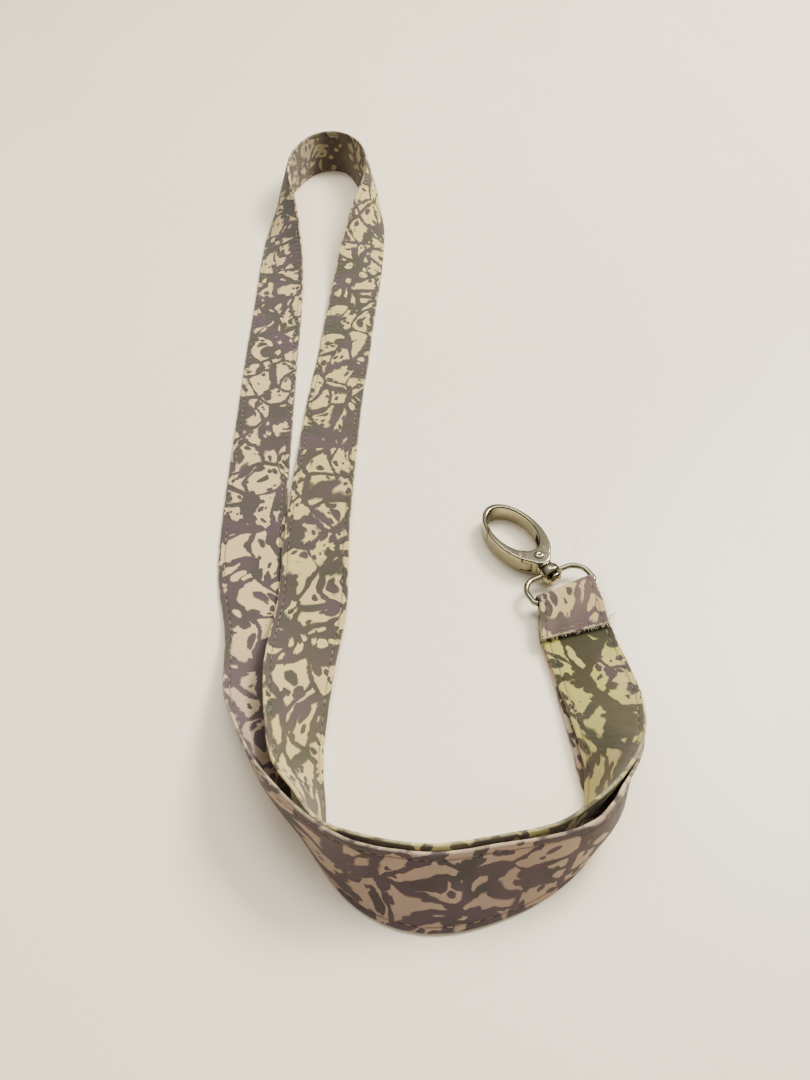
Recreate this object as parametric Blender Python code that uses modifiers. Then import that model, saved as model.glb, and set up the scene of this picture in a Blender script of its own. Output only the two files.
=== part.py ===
"""A folded cotton neck lanyard with an oval swivel snap hook, lying on a table.

The frame is metric with +Z up and the table at z = 0. The two legs of the neck loop run along Y,
with the back-of-the-neck arc at +Y. The origin is the centre of the footprint, on the table.
All lengths below are in millimetres and are turned into metres by MM where objects are made.
"""

from math import ceil, cos, degrees, hypot, pi, radians, sin

import bmesh
import bpy
import numpy as np
from mathutils import Euler, Vector

MM = 0.001

# Strap
STRAP_WIDTH = 20.0
STRAP_WIDTH_AT_BAR = 18.2
STRAP_THICKNESS = 1.0
STITCH_INSET = 1.8
GROOVE_HALF_WIDTH = 0.5
GROOVE_DEPTH = 0.45
GATHER_LENGTH = 8.0
THREAD_RADIUS = 0.15
THREAD_SINK = 0.14
SEAM_SETBACK = 1.6
LONGEST_STEP = 30.0
WIDEST_TURN = 12.0

# Swivel loop: a wire D with a collar at the middle of its bow
WIRE_RADIUS = 0.85
LOOP_HALF_WIDTH = 10.1
LOOP_DEPTH = 8.0
LOOP_BAR_CORNER = 1.2
LOOP_BOW_CORNER = 4.6
SLEEVE_GAP = 0.25
COLLAR_RADIUS = 3.3
COLLAR_BORE = 1.6
COLLAR_START = 6.4
COLLAR_END = 9.2

# Hook, measured along the swivel axis from the loop's bar
STEM_RADIUS = 1.2
HEAD_RADIUS = 2.1
HEAD_START = 4.8
HEAD_END = 5.9
FLANGE_RADIUS = 2.6
FLANGE_START = 9.7
HOOK_HEIGHT = 5.5
OVAL_HALF_WIDTH = 7.8
OVAL_HALF_LENGTH = 13.6
OVAL_CENTRE = 24.8
EYE_HALF_WIDTH = 6.1
EYE_HALF_LENGTH = 10.2
EYE_CENTRE = 26.4
BEARING_FLAT = 36.1
HOOK_BEVEL = 0.55
PIVOT = 13.5
BASE_RADIUS = 3.4
SLOT_RADIUS = 2.75
SLOT_HEIGHT = 3.4
TONGUE_HEIGHT = 2.8
TONGUE_RADIUS = 2.35
SPRING_ROOM = 1.6
RIVET_RADIUS = 0.7
RIVET_HOLE_RADIUS = 0.78
RIVET_HEAD_RADIUS = 1.5
RIVET_HEAD_HEIGHT = 0.45
RIVET_HEAD_GAP = 0.1
SPRING_WIRE_RADIUS = 0.16
SPRING_RADIUS = 1.4
SPRING_TURNS = 2.25
SPRING_LENGTH = 1.0

# The gate's share of the oval: ellipse angles in degrees of its tip and of its lap under the hook's
# nose, the radius of its heel round the rivet, where across the band each stops at the lap, and half
# of the crack
GATE_TIP = 162.0
GATE_LAP = 154.0
GATE_HEEL = 5.4
NOSE_SHARE = 0.41
GATE_SHARE = 0.59
HALF_CRACK = 0.17

# Where the middle of the loop's bar lies, and how far left of +Y and down the loop points. The hook
# leans in the loose collar, so its swivel axis turns further and passes beside the bar's middle.
# The bar and the strap's stations are laid out before centring, when the middle of the footprint is
# at FOOTPRINT_CENTRE.
BAR = (48.43, -99.01, 4.16)
HOOK_FOOT = (49.0, -98.7, 4.16)
FOOTPRINT_CENTRE = (0.437, -0.358, -0.046)
LOOP_TURN = 26.0
HOOK_TURN = 31.0
AXIS_DROP = 2.0

# Stations of the strap. Each holds a point on its inner edge "i", outer edge "o" or centre "c" (x, y
# and the height of the lowest face there), the heading of the width from inner to outer edge, the
# tilt of the width above the table, and how far the middle bellies out on the upper side. "Inner"
# faces the middle of the loop. The angles are in degrees.
# The flap is the folded-back end on top, from its cut edge to the bar.
FLAP = [
    ("c", 49.2, -112.7, 3.4, 16, 0, 0.0),
    ("c", 48.9, -105.6, 4.6, 21, 0, 0.0),
]
# The outer layer leaves the bar underneath, stands on edge round the bottom bend and becomes the
# left leg.
OUTER_LAYER = [
    ("i", 39.8, -112.4, 0.3, 12, 0, 0.0),
    ("i", 41.7, -125.0, 0.1, 1, 5, 0.0),
    ("i", 43.0, -136.0, 0.0, -12, 20, -0.5),
    ("i", 44.2, -145.5, 0.0, -28, 40, -1.5),
    ("i", 45.2, -155.0, 0.0, -38, 62, -2.8),
    ("i", 46.8, -164.0, 0.0, -42, 82, -3.0),
    ("i", 44.0, -172.2, 0.0, -50, 92, -1.2),
    ("i", 35.3, -180.0, 0.0, -63, 105, 0.0),
    ("i", 23.5, -185.7, 0.0, -80, 118, 0.0),
    ("i", 11.0, -188.4, 0.0, -92, 122, 0.0),
    ("i", -1.2, -186.6, 0.0, -108, 118, 0.0),
    ("i", -10.8, -180.2, 0.0, -128, 104, 0.0),
    ("i", -17.3, -171.8, 0.0, -138, 91, -0.6),
    ("i", -22.6, -163.0, 0.0, -143, 82, -1.8),
    ("i", -24.9, -153.0, 0.0, -148, 68, -2.5),
    ("i", -24.0, -141.6, 0.0, -160, 46, -1.5),
    ("i", -24.4, -131.0, 0.0, -170, 24, -0.5),
    ("o", -46.4, -112.0, 1.5, -176, 4, 0.0),
    ("o", -50.8, -95.0, 0.1, -177, 0, 0.0),
    ("o", -54.0, -67.0, 0.0, -178, 0, 0.0),
    ("o", -57.0, -6.0, 0.0, -180, 0, 0.0),
    ("o", -58.2, 20.0, 0.0, -180, 0, 0.0),
    ("o", -59.0, 45.0, 0.0, -180, -2, 0.0),
]
# The neck arc stands on its outer edge and leads from the left leg to the right one.
NECK_ARC = [
    ("o", -60.2, 77.0, 0.0, 180, -12, 0.0),
    ("o", -60.9, 103.0, 0.0, 178, -30, 0.0),
    ("o", -60.5, 123.0, 0.0, 175, -48, 0.8),
    ("o", -58.0, 142.0, 0.0, 168, -70, 1.5),
    ("o", -53.6, 159.0, 0.0, 160, -86, 1.0),
    ("o", -48.5, 174.0, 0.0, 150, -90, 0.0),
    ("o", -43.0, 183.5, 0.0, 125, -90, 0.0),
    ("o", -35.5, 187.6, 0.0, 90, -90, 0.0),
    ("o", -28.0, 184.5, 0.0, 52, -92, 0.0),
    ("o", -23.0, 175.0, 0.0, 28, -98, 0.0),
    ("o", -17.5, 159.0, 0.0, 20, -94, 1.5),
    ("o", -10.5, 142.0, 0.0, 12, -74, 2.5),
    ("o", -7.0, 123.0, 0.0, 5, -50, 1.2),
    ("o", -6.6, 103.0, 0.0, 2, -30, 0.0),
    ("o", -7.4, 77.0, 0.0, 0, -12, 0.0),
    ("o", -9.4, 45.0, 0.0, 0, -2, 0.0),
    ("o", -10.6, 20.0, 0.0, 0, 0, 0.0),
]
# The inner layer is listed from the bar like the outer one, with "inner" facing the middle of the
# bottom bend. It ends as the right leg, which crosses on top of the left one.
INNER_LAYER = [
    ("c", 48.5, -102.5, 3.5, 23, 0, 0.0),
    ("i", 39.8, -112.4, 2.0, 12, 0, 0.0),
    ("i", 42.0, -125.0, 1.6, -1, 8, 0.0),
    ("i", 43.9, -136.0, 2.2, -16, 29, -0.5),
    ("i", 45.4, -145.8, 3.2, -34, 48, -1.2),
    ("i", 45.8, -154.0, 2.4, -48, 64, -1.6),
    ("i", 44.6, -162.6, 0.6, -56, 80, -1.0),
    ("i", 40.7, -170.4, 0.0, -62, 92, 0.0),
    ("i", 36.0, -176.0, 0.0, -68, 100, 0.0),
    ("i", 29.3, -181.0, 0.0, -75, 111, 0.0),
    ("i", 21.0, -184.6, 0.0, -82, 119, 0.0),
    ("i", 10.4, -186.7, 0.0, -92, 122.5, 0.0),
    ("i", -0.8, -184.9, 0.0, -107, 118, 0.0),
    ("i", -9.2, -178.9, 0.0, -125, 104, 0.0),
    ("i", -14.7, -170.7, 0.0, -138, 86, 0.0),
    ("i", -15.8, -161.0, 0.0, -142, 71, 0.0),
    ("i", -17.0, -151.0, 0.0, -145, 55, -0.5),
    ("i", -16.6, -137.0, 1.0, -153, 40, 0.0),
    ("i", -15.2, -121.0, 1.5, -166, 23, 0.0),
    ("o", -33.2, -103.0, 2.1, -177, 3, 0.0),
    ("o", -33.8, -78.0, 1.7, -179, 0, 0.0),
    ("o", -33.3, -39.0, 0.7, 180, 0, 0.0),
    ("o", -32.3, -6.0, 0.0, 180, 0, 0.0),
]


def collection(name):
    made = bpy.data.collections.new(name)
    bpy.context.scene.collection.children.link(made)
    return made


def material(name, colour, roughness, metallic=0.0):
    made = bpy.data.materials.new(name)
    made.use_nodes = True
    shader = made.node_tree.nodes["Principled BSDF"]
    shader.inputs["Base Color"].default_value = (*colour, 1.0)
    shader.inputs["Roughness"].default_value = roughness
    shader.inputs["Metallic"].default_value = metallic
    return made


def mesh_object(name, mesh, home, finish=None, parent=None, location=(0, 0, 0)):
    made = bpy.data.objects.new(name, mesh)
    home.objects.link(made)
    if finish:
        mesh.materials.append(finish)
    made.parent = parent
    made.location = Vector(location) * MM
    return made


def as_cutter(made):
    made.hide_render = True
    made.display_type = "WIRE"
    return made


def boolean(target, operation, other):
    modifier = target.modifiers.new(operation.title() + "_" + other.name, "BOOLEAN")
    modifier.operation = operation
    modifier.object = other
    modifier.solver = "EXACT"


# ---- strap -------------------------------------------------------------------------------------


def direction(heading, tilt):
    """Unit vector at a heading in the table's plane and a tilt above it, both in degrees."""
    h, t = radians(heading), radians(tilt)
    return np.array([cos(t) * cos(h), cos(t) * sin(h), sin(t)])


def width_at(x, y):
    """The strap is gathered where it wraps the bar and reaches full width some way off."""
    away = min(hypot(x - BAR[0], y - BAR[1]) / GATHER_LENGTH, 1.0)
    return STRAP_WIDTH_AT_BAR + (STRAP_WIDTH - STRAP_WIDTH_AT_BAR) * away


def row(kind, x, y, low, heading, tilt, belly):
    """A station as one row of numbers: centre, width direction, belly, width."""
    across = direction(heading, tilt)
    width = width_at(x, y)
    lift = low + STRAP_THICKNESS / 2 * abs(cos(radians(tilt)))
    centre = np.array([x, y, lift]) - FOOTPRINT_CENTRE
    centre = centre + across * width / 2 * {"i": 1, "c": 0, "o": -1}[kind]
    return np.concatenate([centre, across, [belly, width]])


def turned_over(station_row):
    """The same station seen by the strip on its way back: inner and outer edge change places."""
    flipped = station_row.copy()
    flipped[3:6] *= -1
    return flipped


def wrap_rows():
    """Half a turn of the strap over the bar, from above it to below it."""
    radius = WIRE_RADIUS + SLEEVE_GAP + STRAP_THICKNESS / 2
    ahead = direction(90 + LOOP_TURN, 0)
    across = direction(LOOP_TURN, 0)
    rows = []
    for step in range(7):
        angle = pi / 2 - step * pi / 6
        centre = np.array(BAR) - FOOTPRINT_CENTRE + radius * (cos(angle) * ahead + sin(angle) * np.array([0, 0, 1]))
        rows.append(np.concatenate([centre, across, [0, STRAP_WIDTH_AT_BAR]]))
    return rows


def strap_rows():
    """All stations of the strip in order, from the flap's cut edge to the inner layer's."""
    there = [row(*station) for station in OUTER_LAYER + NECK_ARC]
    back = [turned_over(row(*station)) for station in reversed(INNER_LAYER)]
    return np.array([row(*station) for station in FLAP] + wrap_rows() + there + back)


def bends(at, rows):
    """Second derivatives at the stations of the natural cubic spline through them."""
    span = np.diff(at)
    rise = np.diff(rows, axis=0) / span[:, None]
    matrix = np.eye(len(rows))
    right = np.zeros_like(rows)
    for i in range(1, len(rows) - 1):
        matrix[i, i - 1 : i + 2] = (span[i - 1], 2 * (span[i - 1] + span[i]), span[i])
        right[i] = 6 * (rise[i] - rise[i - 1])
    return np.linalg.solve(matrix, right)


def angle_between(a, b):
    return np.degrees(np.arccos(np.clip(a @ b / np.linalg.norm(a) / np.linalg.norm(b), -1, 1)))


def smooth_path(rows):
    """Cubic spline through the stations, sampled more closely where the strip turns or twists."""
    chords = np.diff(rows[:, :3], axis=0)
    at = np.concatenate([[0], np.cumsum(np.linalg.norm(chords, axis=1) ** 0.5)])
    bend = bends(at, rows)
    samples = []
    for i, chord in enumerate(chords):
        span = at[i + 1] - at[i]
        neighbours = (chords[max(i - 1, 0)], chords[min(i + 1, len(chords) - 1)])
        turn = max(angle_between(rows[i, 3:6], rows[i + 1, 3:6]), angle_between(*neighbours) / 2)
        count = ceil(np.linalg.norm(chord) / LONGEST_STEP + turn / WIDEST_TURN)
        for k in range(count):
            b = k / count * span
            a = span - b
            samples.append(
                (bend[i] * a**3 + bend[i + 1] * b**3) / (6 * span)
                + (rows[i] / span - bend[i] * span / 6) * a
                + (rows[i + 1] / span - bend[i + 1] * span / 6) * b
            )
    path = np.array([*samples, rows[-1]])
    path[:, 3:6] /= np.linalg.norm(path[:, 3:6], axis=1)[:, None]
    return path


def face_normals(path):
    """Upper-side normal at each sample: along the strip crossed with the width."""
    along = np.gradient(path[:, :3], axis=0)
    normals = np.cross(along, path[:, 3:6])
    return normals / np.linalg.norm(normals, axis=1)[:, None]


def strap_point(sample, normal, across, out):
    """The point at a distance across the width from the centre, and out along the upper normal."""
    belly, width = sample[6], sample[7]
    bulge = belly * (1 - (2 * across / width) ** 2)
    return sample[:3] + sample[3:6] * across + normal * (out + bulge)


def sweep(name, path, outline, home, finish):
    """A closed solid: the outline, a function of the local width, carried along the path."""
    normals = face_normals(path)
    mesh = bmesh.new()
    rings = []
    for sample, normal in zip(path, normals):
        points = [strap_point(sample, normal, u, v) for u, v in outline(sample[7])]
        rings.append([mesh.verts.new(Vector(p) * MM) for p in points])
    for first, second in zip(rings, rings[1:]):
        for k in range(len(first)):
            n = (k + 1) % len(first)
            mesh.faces.new((first[k], first[n], second[n], second[k]))
    mesh.faces.new(rings[0])
    mesh.faces.new(reversed(rings[-1]))
    bmesh.ops.recalc_face_normals(mesh, faces=mesh.faces)
    data = bpy.data.meshes.new(name)
    mesh.to_mesh(data)
    mesh.free()
    return mesh_object(name, data, home, finish)


def strap_outline(width):
    """Flat strip with a V groove for each line of stitches, two on each face."""
    half, thick = width / 2, STRAP_THICKNESS / 2
    line = half - STITCH_INSET
    upper = []
    for middle in (-line, line):
        upper += [
            (middle - GROOVE_HALF_WIDTH, thick),
            (middle, thick - GROOVE_DEPTH),
            (middle + GROOVE_HALF_WIDTH, thick),
        ]
    lower = [(u, -v) for u, v in reversed(upper)]
    return [(-half, thick), *upper, (half, thick), (half, -thick), *lower, (-half, -thick)]


def thread_outline(edge, face):
    """Thread in the groove near one edge (-1 left, 1 right) of one face (1 upper, -1 lower)."""

    def outline(width):
        u = edge * (width / 2 - STITCH_INSET)
        v = face * (STRAP_THICKNESS / 2 - THREAD_SINK)
        turns = [pi / 2 * face + k * 2 * pi / 3 for k in range(3)]
        return [(u + THREAD_RADIUS * cos(a), v + THREAD_RADIUS * sin(a)) for a in turns]

    return outline


def prism(name, centre, axis, up, length, half_width, depth, home, finish=None):
    """A bar of triangular section whose flat side faces up."""
    side = axis.cross(up).normalized()
    mesh = bmesh.new()
    ends = []
    for s in (-0.5, 0.5):
        middle = centre + axis * length * s
        corners = (middle + side * half_width, middle - side * half_width, middle - up * depth)
        ends.append([mesh.verts.new(corner * MM) for corner in corners])
    for k in range(3):
        n = (k + 1) % 3
        mesh.faces.new((ends[0][k], ends[0][n], ends[1][n], ends[1][k]))
    mesh.faces.new(ends[0])
    mesh.faces.new(reversed(ends[1]))
    bmesh.ops.recalc_face_normals(mesh, faces=mesh.faces)
    data = bpy.data.meshes.new(name)
    mesh.to_mesh(data)
    mesh.free()
    return mesh_object(name, data, home, finish)


def end_seam(strap, path, parts, cutters, finish):
    """The cross seam through the folded end: a thread on top of the flap and one underneath."""
    table = np.hstack([path, face_normals(path)])
    lengths = np.concatenate([[0], np.cumsum(np.linalg.norm(np.diff(path[:, :3], axis=0), axis=1))])
    at_bar = lengths[np.argmax(path[lengths < 40, :3] @ direction(90 + LOOP_TURN, 0))]
    spots = {
        "end_seam_needle_thread": SEAM_SETBACK,
        "end_seam_bobbin_thread": 2 * at_bar - SEAM_SETBACK,
    }
    for name, where in spots.items():
        spot = np.array([np.interp(where, lengths, column) for column in table.T])
        across = Vector(spot[3:6]).normalized()
        out = -Vector(spot[8:11]).normalized()
        face = Vector(spot[:3]) + out * STRAP_THICKNESS / 2
        length = spot[7] - 2 * (STITCH_INSET + 2 * GROOVE_HALF_WIDTH)
        above = face + out * GROOVE_DEPTH
        depth = 2 * GROOVE_DEPTH
        groove = prism(name + "_groove", above, across, out, length, 2 * GROOVE_HALF_WIDTH, depth, cutters)
        boolean(strap, "DIFFERENCE", as_cutter(groove))
        prism(name, face, across, out, length - 0.6, THREAD_RADIUS, THREAD_RADIUS * 1.6, parts, finish)


def make_strap(parts, cutters, cloth, thread):
    path = smooth_path(strap_rows())
    strap = sweep("strap", path, strap_outline, parts, cloth)
    for face_name, face in (("face", 1), ("back", -1)):
        for edge_name, edge in (("left", -1), ("right", 1)):
            name = f"{face_name}_stitch_{edge_name}_edge"
            sweep(name, path, thread_outline(edge, face), parts, thread)
    end_seam(strap, path, parts, cutters, thread)


# ---- turned and flat metal pieces --------------------------------------------------------------


def mesh_of_curve(curve_object, name):
    """The curve's evaluated shape as a mesh with its caps welded on. The curve is removed."""
    graph = bpy.context.evaluated_depsgraph_get()
    data = bpy.data.meshes.new_from_object(curve_object.evaluated_get(graph))
    data.name = name
    mesh = bmesh.new()
    mesh.from_mesh(data)
    bmesh.ops.remove_doubles(mesh, verts=mesh.verts, dist=1e-6)
    bmesh.ops.recalc_face_normals(mesh, faces=mesh.faces)
    mesh.to_mesh(data)
    mesh.free()
    bpy.data.objects.remove(curve_object)
    return data


def add_spline(curve, points, closed):
    spline = curve.splines.new("POLY")
    spline.points.add(len(points) - 1)
    for point, place in zip(spline.points, points):
        x, y, z = (*place, 0)[:3]
        point.co = (x * MM, y * MM, z * MM, 1)
    spline.use_cyclic_u = closed


def plate_mesh(name, outlines, height):
    """Flat outlines, holes included, thickened evenly to both sides of their plane."""
    curve = bpy.data.curves.new(name, "CURVE")
    curve.dimensions = "2D"
    for outline in outlines:
        add_spline(curve, outline, closed=True)
    curve.fill_mode = "BOTH"
    curve.extrude = height / 2 * MM
    made = bpy.data.objects.new(name, curve)
    bpy.context.scene.collection.objects.link(made)
    return mesh_of_curve(made, name)


def wire_mesh(name, points, radius, resolution):
    curve = bpy.data.curves.new(name, "CURVE")
    curve.dimensions = "3D"
    add_spline(curve, points, closed=False)
    curve.bevel_depth = radius * MM
    curve.bevel_resolution = resolution
    curve.use_fill_caps = True
    made = bpy.data.objects.new(name, curve)
    bpy.context.scene.collection.objects.link(made)
    return mesh_of_curve(made, name)


def turned(name, profile, home, closed=False, steps=28, finish=None, parent=None, upright=False):
    """A turned piece about +Y, or about +Z when upright, from radius and distance pairs."""
    data = bpy.data.meshes.new(name)
    count = len(profile)
    edges = [(k, (k + 1) % count) for k in range(count if closed else count - 1)]
    data.from_pydata([(r * MM, 0, h * MM) for r, h in profile], edges, [])
    made = mesh_object(name, data, home, finish, parent)
    screw = made.modifiers.new("Turn", "SCREW")
    screw.steps = screw.render_steps = steps
    screw.use_merge_vertices = True
    screw.merge_threshold = 0.00001
    screw.use_smooth_shade = True
    if not upright:
        made.rotation_euler = Euler((-pi / 2, 0, 0))
    return made


def arc(curve, start, end, step=8):
    """Points of a curve of the angle in degrees, from start to end inclusive."""
    count = max(1, ceil(abs(end - start) / step))
    return [curve(start + (end - start) * k / count) for k in range(count + 1)]


def circle(radius, centre=(0, 0)):
    def point(angle):
        a = radians(angle)
        return (centre[0] + radius * cos(a), centre[1] + radius * sin(a))

    return point


def outer_oval(angle):
    a = radians(angle)
    return (OVAL_HALF_WIDTH * cos(a), OVAL_CENTRE + OVAL_HALF_LENGTH * sin(a))


def eye_oval(angle):
    a = radians(angle)
    return (EYE_HALF_WIDTH * cos(a), min(EYE_CENTRE + EYE_HALF_LENGTH * sin(a), BEARING_FLAT))


def band(share):
    """Oval at a share of the way from the outer edge of the hook to the eye."""

    def point(angle):
        return tuple(a + (b - a) * share for a, b in zip(outer_oval(angle), eye_oval(angle)))

    return point


def gate_zone(half_crack, share):
    """Outline around the gate's part of the oval, with its step at the nose."""
    tip = GATE_TIP + degrees(half_crack / OVAL_HALF_LENGTH)
    lap = GATE_LAP + degrees(half_crack / OVAL_HALF_LENGTH)
    outside = [band(-1.5)(tip), (-14, OVAL_CENTRE), (-14, PIVOT)]
    heel = arc(circle(GATE_HEEL + half_crack, (0, PIVOT)), 180, 110, 5)
    inside = [(-1.8, OVAL_CENTRE + 5), band(2)(lap)]
    return arc(band(share), lap, tip, 2) + outside + heel + inside


def oval_plate(name, home, finish, parent):
    """The whole closed oval with its base, rounded over, from which hook and gate are cut."""
    outside = arc(outer_oval, -62, 242) + arc(circle(BASE_RADIUS, (0, PIVOT)), 210, 330, 12)
    inside = arc(eye_oval, 0, 352)
    made = mesh_object(name, plate_mesh(name, [outside, inside], HOOK_HEIGHT), home, finish, parent)
    bevel = made.modifiers.new("Rounding", "BEVEL")
    bevel.width = HOOK_BEVEL * MM
    bevel.segments = 2
    bevel.limit_method = "ANGLE"
    bevel.angle_limit = radians(40)
    return made


def flat_cutter(name, outline, height, home, parent):
    return as_cutter(mesh_object(name, plate_mesh(name, [outline], height), home, parent=parent))


def pin_cutter(name, radius, home, parent):
    outline = arc(circle(radius, (0, PIVOT)), 0, 350, 15)
    return flat_cutter(name, outline, 2 * HOOK_HEIGHT, home, parent)


def slot_outline():
    """Room for the gate's tongue in the base, open to the gate's side and into the eye. It runs on
    as a pocket in the inner side of the fixed limb."""
    pocket = [(4.0, 17.2), (5.6, 19.6), (6.2, 21.8), (3.5, 22.3)]
    mouth = [(-10, PIVOT + 6), (-10, PIVOT - 0.75)]
    return arc(circle(SLOT_RADIUS, (0, PIVOT)), 208, 405, 14) + pocket + mouth


def tongue_outline():
    """The gate's tongue between the two cheeks of the base, flush with their outer side."""
    flank = arc(outer_oval, 207, 236, 4)
    return arc(circle(TONGUE_RADIUS, (0, PIVOT)), 212, 415, 14) + [(-3.0, 19.2)] + flank


def make_loop(frame, parts, cutters, metal):
    """Wire D through the fold of the strap, with the swivel collar at the middle of its bow."""
    side, depth = LOOP_HALF_WIDTH, LOOP_DEPTH
    low, high = LOOP_BAR_CORNER, LOOP_BOW_CORNER
    end = (COLLAR_RADIUS + COLLAR_BORE) / 2
    right = (
        [(end, depth)]
        + arc(circle(high, (side - high, depth - high)), 90, 0, 15)
        + arc(circle(low, (side - low, low)), 0, -90, 18)
    )
    left = [(-x, y) for x, y in reversed(right)]
    mesh = wire_mesh("swivel_loop", right + left, WIRE_RADIUS, 3)
    loop = mesh_object("swivel_loop", mesh, parts, metal, frame)
    profile = [
        (COLLAR_RADIUS - 0.5, COLLAR_END),
        (COLLAR_RADIUS, COLLAR_END - 0.5),
        (COLLAR_RADIUS, COLLAR_START + 0.5),
        (COLLAR_RADIUS - 0.5, COLLAR_START),
        (COLLAR_BORE, COLLAR_START),
        (COLLAR_BORE, COLLAR_END),
    ]
    collar = as_cutter(turned("collar", profile, cutters, closed=True, parent=frame))
    boolean(loop, "UNION", collar)
    return loop


def make_hook(frame, parts, cutters, metal):
    """Fixed part of the snap hook: open oval, slotted base, and the swivel stem with its head."""
    hook = oval_plate("hook_body", parts, metal, frame)
    profile = [
        (0, PIVOT - 2),
        (FLANGE_RADIUS - 0.3, PIVOT - 2),
        (FLANGE_RADIUS, PIVOT - 2.6),
        (FLANGE_RADIUS, FLANGE_START + 0.3),
        (FLANGE_RADIUS - 0.3, FLANGE_START),
        (STEM_RADIUS, FLANGE_START),
        (STEM_RADIUS, HEAD_END),
        (HEAD_RADIUS - 0.2, HEAD_END),
        (HEAD_RADIUS, HEAD_END - 0.2),
        (HEAD_RADIUS * 0.9, HEAD_START + 0.4),
        (HEAD_RADIUS * 0.6, HEAD_START + 0.12),
        (0, HEAD_START),
    ]
    boolean(hook, "UNION", as_cutter(turned("stem", profile, cutters, parent=frame)))
    opening = gate_zone(-HALF_CRACK, NOSE_SHARE)
    boolean(hook, "DIFFERENCE", flat_cutter("gate_opening", opening, 2 * HOOK_HEIGHT, cutters, frame))
    boolean(hook, "DIFFERENCE", flat_cutter("tongue_slot", slot_outline(), SLOT_HEIGHT, cutters, frame))
    boolean(hook, "DIFFERENCE", pin_cutter("rivet_hole", RIVET_HOLE_RADIUS, cutters, frame))
    return hook


def make_gate(frame, pivot, parts, cutters, metal):
    """Sprung part of the oval with its forked tongue. It turns inwards about the rivet."""
    gate = oval_plate("hook_gate", parts, metal, pivot)
    gate.location = (0, -PIVOT * MM, 0)
    zone = gate_zone(HALF_CRACK, GATE_SHARE)
    boolean(gate, "INTERSECT", flat_cutter("gate_zone", zone, 2 * HOOK_HEIGHT, cutters, frame))
    boolean(gate, "UNION", flat_cutter("tongue", tongue_outline(), TONGUE_HEIGHT, cutters, frame))
    room = arc(circle(TONGUE_RADIUS + 0.4, (0, PIVOT)), 0, 350, 14)
    boolean(gate, "DIFFERENCE", flat_cutter("spring_room", room, SPRING_ROOM, cutters, frame))
    boolean(gate, "DIFFERENCE", pin_cutter("gate_pin_hole", RIVET_HOLE_RADIUS, cutters, frame))
    return gate


def make_rivet(pivot, parts, metal):
    head = HOOK_HEIGHT / 2 + RIVET_HEAD_GAP
    top = head + RIVET_HEAD_HEIGHT
    upper = [
        (0, top),
        (RIVET_HEAD_RADIUS * 0.6, top - 0.1),
        (RIVET_HEAD_RADIUS, head + 0.12),
        (RIVET_HEAD_RADIUS, head),
        (RIVET_RADIUS, head),
    ]
    profile = upper + [(r, -h) for r, h in reversed(upper)]
    return turned("gate_rivet", profile, parts, steps=24, finish=metal, parent=pivot, upright=True)


def make_spring(pivot, parts, metal):
    """Torsion spring round the rivet: one leg against the hook's base, the other in the gate."""
    count = ceil(SPRING_TURNS * 16)
    start = 315 - 360 * SPRING_TURNS
    coil = []
    for k in range(count + 1):
        x, y = circle(SPRING_RADIUS)(start + 360 * SPRING_TURNS * k / count)
        coil.append((x, y, SPRING_LENGTH * (k / count - 0.5)))
    tip = TONGUE_RADIUS - SPRING_WIRE_RADIUS
    legs = [circle(hypot(tip, 0.4))(start - 30), circle(hypot(tip, 0.4))(315 + 30)]
    points = [(*legs[0], -SPRING_LENGTH / 2), *coil, (*legs[1], SPRING_LENGTH / 2)]
    return mesh_object("gate_spring", wire_mesh("gate_spring", points, SPRING_WIRE_RADIUS, 1), parts, metal, pivot)


def empty(name, home, parent=None, location=(0, 0, 0), turn=(0, 0, 0)):
    made = mesh_object(name, None, home, parent=parent, location=location)
    made.rotation_euler = Euler([radians(angle) for angle in turn])
    made.empty_display_size = 5 * MM
    return made


def main():
    for old in list(bpy.data.objects):
        bpy.data.objects.remove(old)
    parts = collection("neck_lanyard")
    cutters = collection("cutters")
    cotton = material("printed_cotton", (0.62, 0.56, 0.40), 0.9)
    thread = material("cream_thread", (0.80, 0.74, 0.60), 0.85)
    nickel = material("warm_nickel", (0.72, 0.68, 0.58), 0.25, 1.0)
    steel = material("spring_steel", (0.55, 0.55, 0.56), 0.35, 1.0)
    make_strap(parts, cutters, cotton, thread)
    bar = np.array(BAR) - FOOTPRINT_CENTRE
    foot = np.array(HOOK_FOOT) - FOOTPRINT_CENTRE
    loop_frame = empty("loop_frame", parts, location=bar, turn=(-AXIS_DROP, 0, LOOP_TURN))
    hook_frame = empty("hook_frame", parts, location=foot, turn=(-AXIS_DROP, 0, HOOK_TURN))
    pivot = empty("gate_pivot", parts, hook_frame, (0, PIVOT, 0))
    rounded = [
        make_loop(loop_frame, parts, cutters, nickel),
        make_hook(hook_frame, parts, cutters, nickel),
        make_gate(hook_frame, pivot, parts, cutters, nickel),
        make_spring(pivot, parts, steel),
    ]
    make_rivet(pivot, parts, nickel)
    for piece in rounded:
        piece.data.shade_smooth()
        piece.data.set_sharp_from_angle(angle=radians(40))


main()
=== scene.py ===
"""Looks of the folded cotton lanyard: its cloth, stitches and polished swivel hook, and the table,
lights and camera round them.

Lengths are in millimetres until MM turns them into metres where a mesh is made.
"""

from math import atan, ceil, cos, degrees, hypot, pi, radians, sin

import bmesh
import bpy
import numpy as np
from mathutils import Euler, Matrix, Vector


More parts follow.
